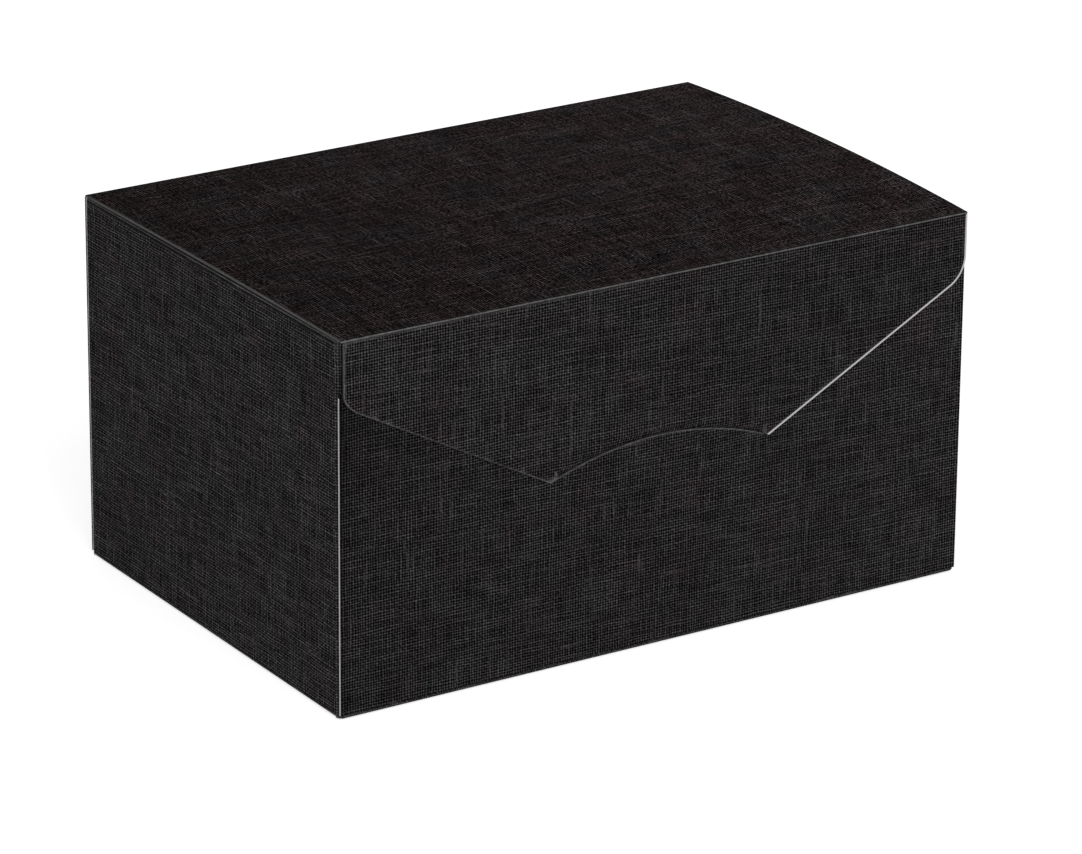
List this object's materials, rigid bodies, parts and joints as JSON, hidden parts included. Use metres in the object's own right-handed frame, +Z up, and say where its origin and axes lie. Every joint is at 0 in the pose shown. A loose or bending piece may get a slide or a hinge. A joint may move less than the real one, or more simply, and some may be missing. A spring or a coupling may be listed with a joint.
{
  "type": "hinged-lid folding carton",
  "caption": "Black linen-embossed board gift carton with a hinged lid and a closure flap whose tip locks into a slot in the front wall.",
  "frame": {"origin": "middle of the base, on the surface that the carton stands on", "axes": "+X to the right across the front, +Y from the front to the back, +Z up"},
  "size_m": [0.25, 0.172, 0.1355],
  "materials": {
    "linen_board": "black linen-embossed outside, white inside",
    "folded_board": "black linen-embossed board, slightly worn along the fold",
    "white_board": "white coated board, satin"
  },
  "bodies": {
    "tray": {"base_panel": "linen_board", "front_wall": "linen_board", "back_wall": "linen_board", "left_wall": "linen_board", "right_wall": "linen_board", "base_front_fold": "folded_board", "base_back_fold": "folded_board", "base_left_fold": "folded_board", "base_right_fold": "folded_board", "left_front_tab": "white_board", "left_back_tab": "white_board", "right_front_tab": "white_board", "right_back_tab": "white_board", "left_front_fold": "folded_board", "left_back_fold": "folded_board", "right_front_fold": "folded_board", "right_back_fold": "folded_board", "left_dust_fold": "folded_board", "right_dust_fold": "folded_board", "lid_fold": "folded_board"},
    "lid": {"lid_panel": "linen_board", "flap_fold": "folded_board"},
    "flap": {"closure_flap": "linen_board", "lock_tip": "linen_board"},
    "left_dust": {"left_dust_flap": "linen_board"},
    "right_dust": {"right_dust_flap": "linen_board"}
  },
  "joints": [
    {"name": "lid_hinge", "type": "hinge", "parent": "tray", "child": "lid", "pos_m": [0, 0.0856, 0.1326], "axis": [-1, 0, 0], "range_deg": [0, 180], "deforming": ["lock_tip"]},
    {"name": "flap_hinge", "type": "hinge", "parent": "lid", "child": "flap", "pos_m": [0, -0.0856, 0.1326], "axis": [-1, 0, 0], "range_deg": [0, 170]},
    {"name": "left_dust_hinge", "type": "hinge", "parent": "tray", "child": "left_dust", "pos_m": [-0.1246, 0, 0.1317], "axis": [0, -1, 0], "range_deg": [0, 90]},
    {"name": "right_dust_hinge", "type": "hinge", "parent": "tray", "child": "right_dust", "pos_m": [0.1246, 0, 0.1317], "axis": [0, 1, 0], "range_deg": [0, 90]}
  ],
  "couplings": [
    {"joint": "left_dust_hinge", "follows": "lid_hinge", "ratio": 0.5},
    {"joint": "right_dust_hinge", "follows": "lid_hinge", "ratio": 0.5}
  ]
}
